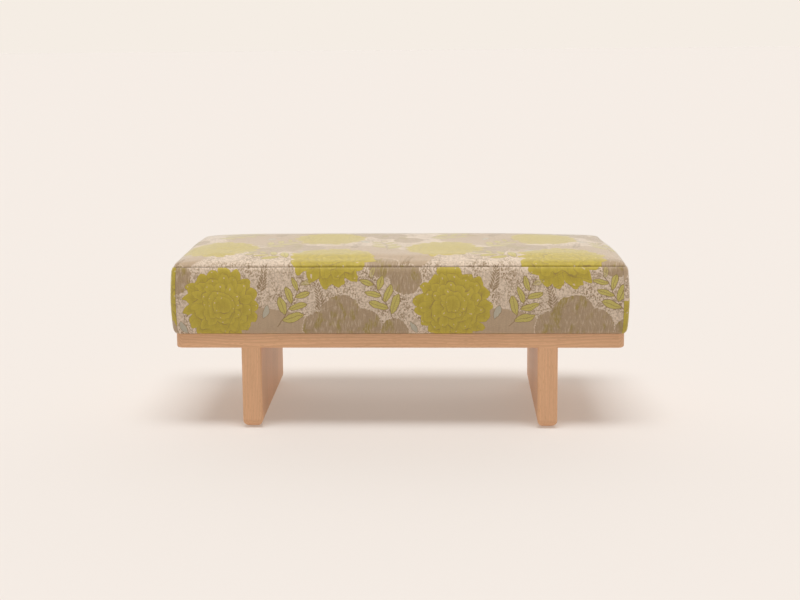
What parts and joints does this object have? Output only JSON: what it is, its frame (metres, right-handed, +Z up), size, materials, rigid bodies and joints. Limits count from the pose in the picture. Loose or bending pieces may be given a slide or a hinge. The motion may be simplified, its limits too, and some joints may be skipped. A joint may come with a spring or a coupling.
{
  "type": "upholstered bench",
  "caption": "Backless upholstered bench: a deep box cushion in patterned woven fabric on a light wood platform carried by slab legs.",
  "frame": {"origin": "on the floor, under the middle of the bench", "axes": "+X along the length of the seat, +Y from the front of the seat to its back, +Z up"},
  "size_m": [1.2, 0.5, 0.4501],
  "materials": {
    "light_wood": "matt oiled light hardwood with open straight grain",
    "hardwood_joinery": "plain planed beech",
    "pine": "sawn and planed softwood",
    "cover_fabric": null,
    "foam": "open cell upholstery foam",
    "wadding": "soft polyester wadding",
    "webbing": "woven elastic strap",
    "hessian": "coarse plain woven jute",
    "dust_cloth": "thin black bonded cloth",
    "zinc_steel": "bright zinc plated",
    "insert_brass": "turned brass",
    "glide_plastic": "matt moulded plastic"
  },
  "bodies": {
    "root": {"back_cover": "cover_fabric", "back_foam_pad": "foam", "back_rail": "light_wood", "block_screws": "zinc_steel", "centre_rail": "light_wood", "corner_blocks": "pine", "corner_splines": "hardwood_joinery", "cover_staples": "zinc_steel", "cross_webbing": "webbing", "dust_cover": "dust_cloth", "dust_cover_staples": "zinc_steel", "front_cover": "cover_fabric", "front_foam_pad": "foam", "front_rail": "light_wood", "glide_nails": "zinc_steel", "glides": "glide_plastic", "hessian": "hessian", "left_cover": "cover_fabric", "left_end_rail": "light_wood", "left_foam_pad": "foam", "left_leg_rail": "light_wood", "left_leg_stave_1": "light_wood", "left_leg_stave_2": "light_wood", "left_leg_stave_3": "light_wood", "left_leg_stave_4": "light_wood", "leg_bolts": "zinc_steel", "leg_dowels": "hardwood_joinery", "leg_inserts": "insert_brass", "leg_washers": "zinc_steel", "long_webbing": "webbing", "rail_dowels": "hardwood_joinery", "right_cover": "cover_fabric", "right_end_rail": "light_wood", "right_foam_pad": "foam", "right_leg_rail": "light_wood", "right_leg_stave_1": "light_wood", "right_leg_stave_2": "light_wood", "right_leg_stave_3": "light_wood", "right_leg_stave_4": "light_wood", "seat_back_rail": "pine", "seat_dowels": "hardwood_joinery", "seat_foam": "foam", "seat_front_rail": "pine", "seat_left_rail": "pine", "seat_right_rail": "pine", "seat_screws": "zinc_steel", "seat_struts": "pine", "strut_dowels": "hardwood_joinery", "top_cover": "cover_fabric", "wadding": "wadding", "webbing_staples": "zinc_steel"}
  },
  "joints": []
}
